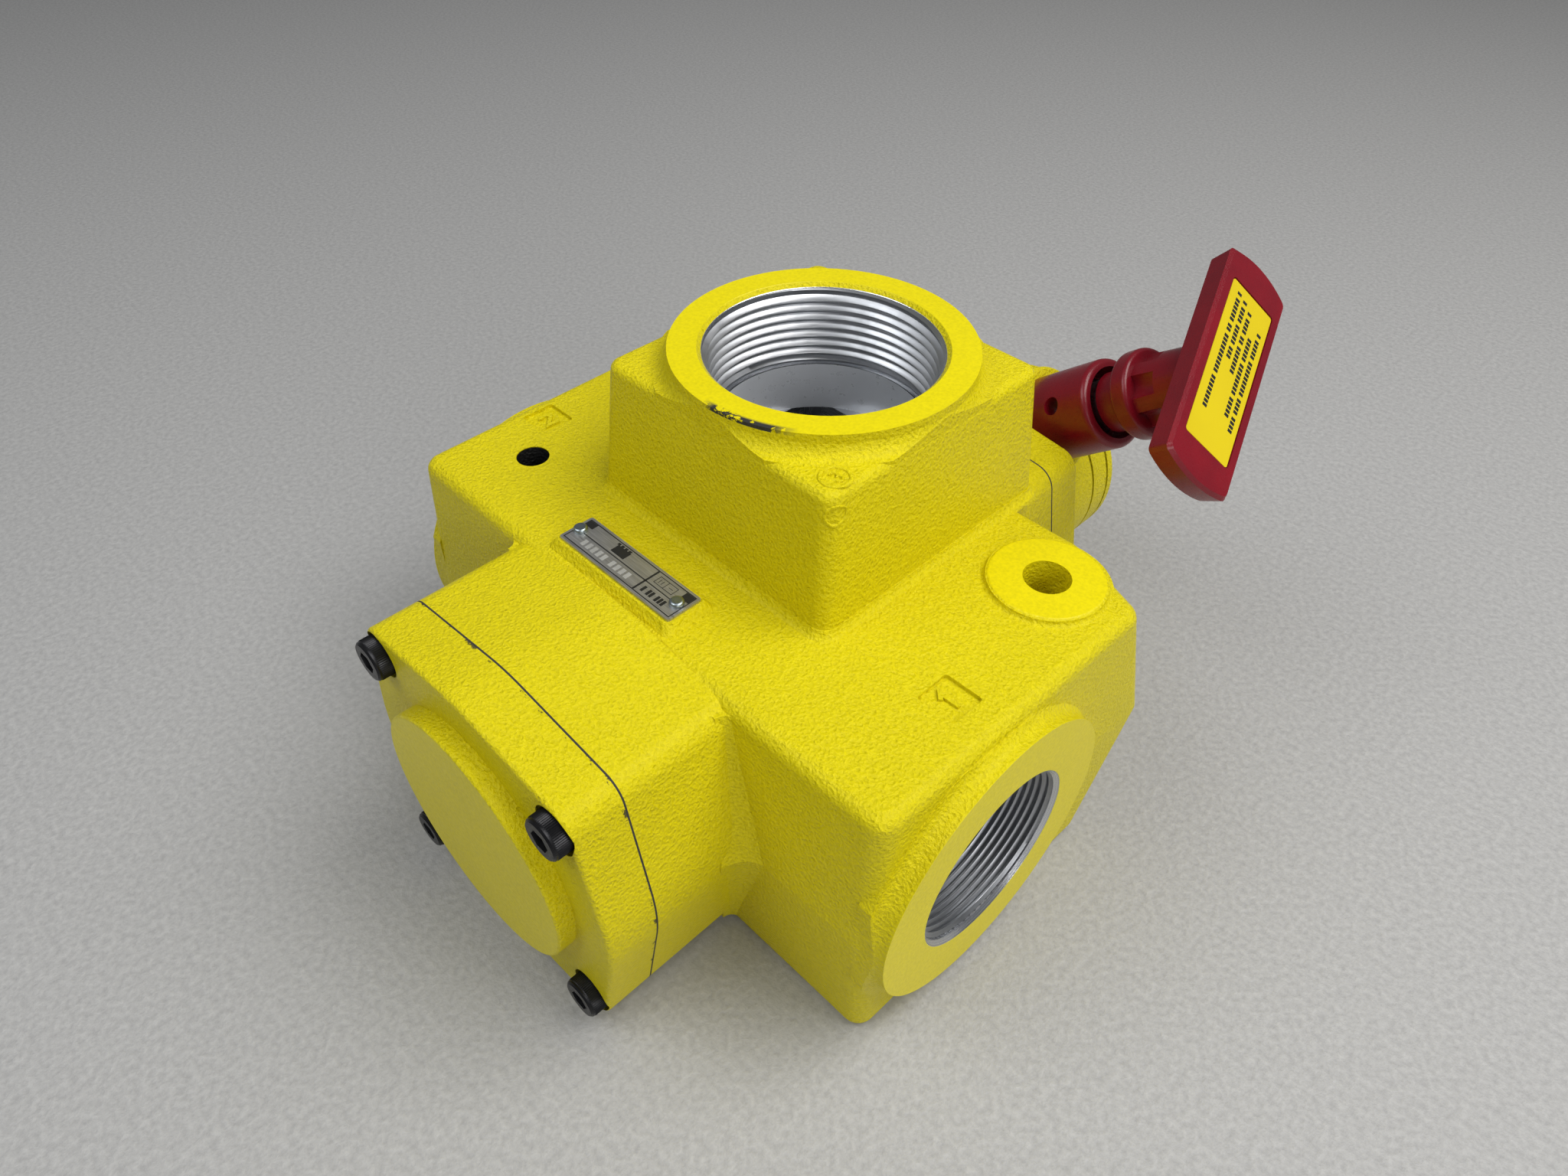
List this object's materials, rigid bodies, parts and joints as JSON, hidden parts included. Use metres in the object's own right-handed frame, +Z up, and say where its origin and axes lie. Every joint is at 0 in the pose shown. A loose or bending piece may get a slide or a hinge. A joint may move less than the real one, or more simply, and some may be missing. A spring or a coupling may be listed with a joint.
{
  "type": "three way valve",
  "caption": "Cast three way air valve with threaded inlet, outlet and top exhaust ports and a red pull handle on a pilot head that shifts its poppets between supply and exhaust.",
  "frame": {"origin": "bottom face, on the axis of the top exhaust port", "axes": "+Z up along the top port, +X out of the inlet port, +Y towards the handle end"},
  "size_m": [0.224, 0.2865, 0.1722],
  "materials": {
    "cast_yellow": "satin paint over cast aluminium",
    "gasket": "matt",
    "black_oxide": "black oxide, satin",
    "stainless": "turned",
    "spring_steel": "satin",
    "zinc_screw": "zinc plated",
    "aluminium_bare": "machined",
    "bronze": "sintered",
    "nitrile": "matt",
    "red_plastic": "moulded, semi-gloss",
    "label_yellow": "printed film",
    "plate_metal": "brushed"
  },
  "bodies": {
    "valve": {"valve_body": "cast_yellow", "front_cover": "cast_yellow", "rear_plate": "cast_yellow", "pilot_housing": "cast_yellow", "pilot_spacer_ring": "cast_yellow", "rear_cap": "cast_yellow", "front_cover_gasket": "gasket", "rear_gasket": "gasket", "pilot_gasket": "gasket", "rear_cap_gasket": "gasket", "front_cover_screws": "black_oxide", "front_cover_lock_washers": "black_oxide", "rear_plate_screws": "black_oxide", "pilot_housing_screws": "black_oxide", "rear_cap_screws": "black_oxide", "inlet_seat_ring": "stainless", "exhaust_seat_ring": "stainless", "return_spring": "spring_steel", "name_plate_drive_screws": "zinc_screw", "bulkhead": "aluminium_bare", "stem_guide_bush": "bronze", "shaft_wiper_seal": "nitrile", "handle_lock_sleeve": "red_plastic", "name_plate": "plate_metal"},
    "poppet_stem": {"main_stem": "stainless", "inlet_poppet": "aluminium_bare", "inlet_poppet_seal": "nitrile", "exhaust_poppet": "aluminium_bare", "exhaust_poppet_seal": "nitrile", "poppet_spacer_tube": "stainless", "piston_spacer_tube": "stainless", "actuator_piston": "aluminium_bare", "piston_seal": "nitrile", "stem_nuts": "stainless", "spring_seat": "spring_steel"},
    "handle_shaft": {"handle_shaft": "aluminium_bare", "pilot_spool_seals": "nitrile", "grip_retaining_clip": "spring_steel"},
    "grip": {"tee_grip": "red_plastic", "grip_label": "label_yellow"}
  },
  "joints": [
    {"name": "handle_slide", "type": "slide", "parent": "valve", "child": "handle_shaft", "axis": [0.7771, 0, 0.6293], "range_m": [-0.0094, 0]},
    {"name": "grip_turn", "type": "hinge", "parent": "handle_shaft", "child": "grip", "pos_m": [-0.01158, 0.1, 0.0708], "axis": [0.7771, 0, 0.6293], "continuous": true},
    {"name": "poppet_slide", "type": "slide", "parent": "valve", "child": "poppet_stem", "axis": [0, 1, 0], "range_m": [0, 0.009], "deforming": ["return_spring"]}
  ],
  "couplings": [
    {"joint": "poppet_slide", "follows": "handle_slide", "ratio": -0.95745}
  ]
}
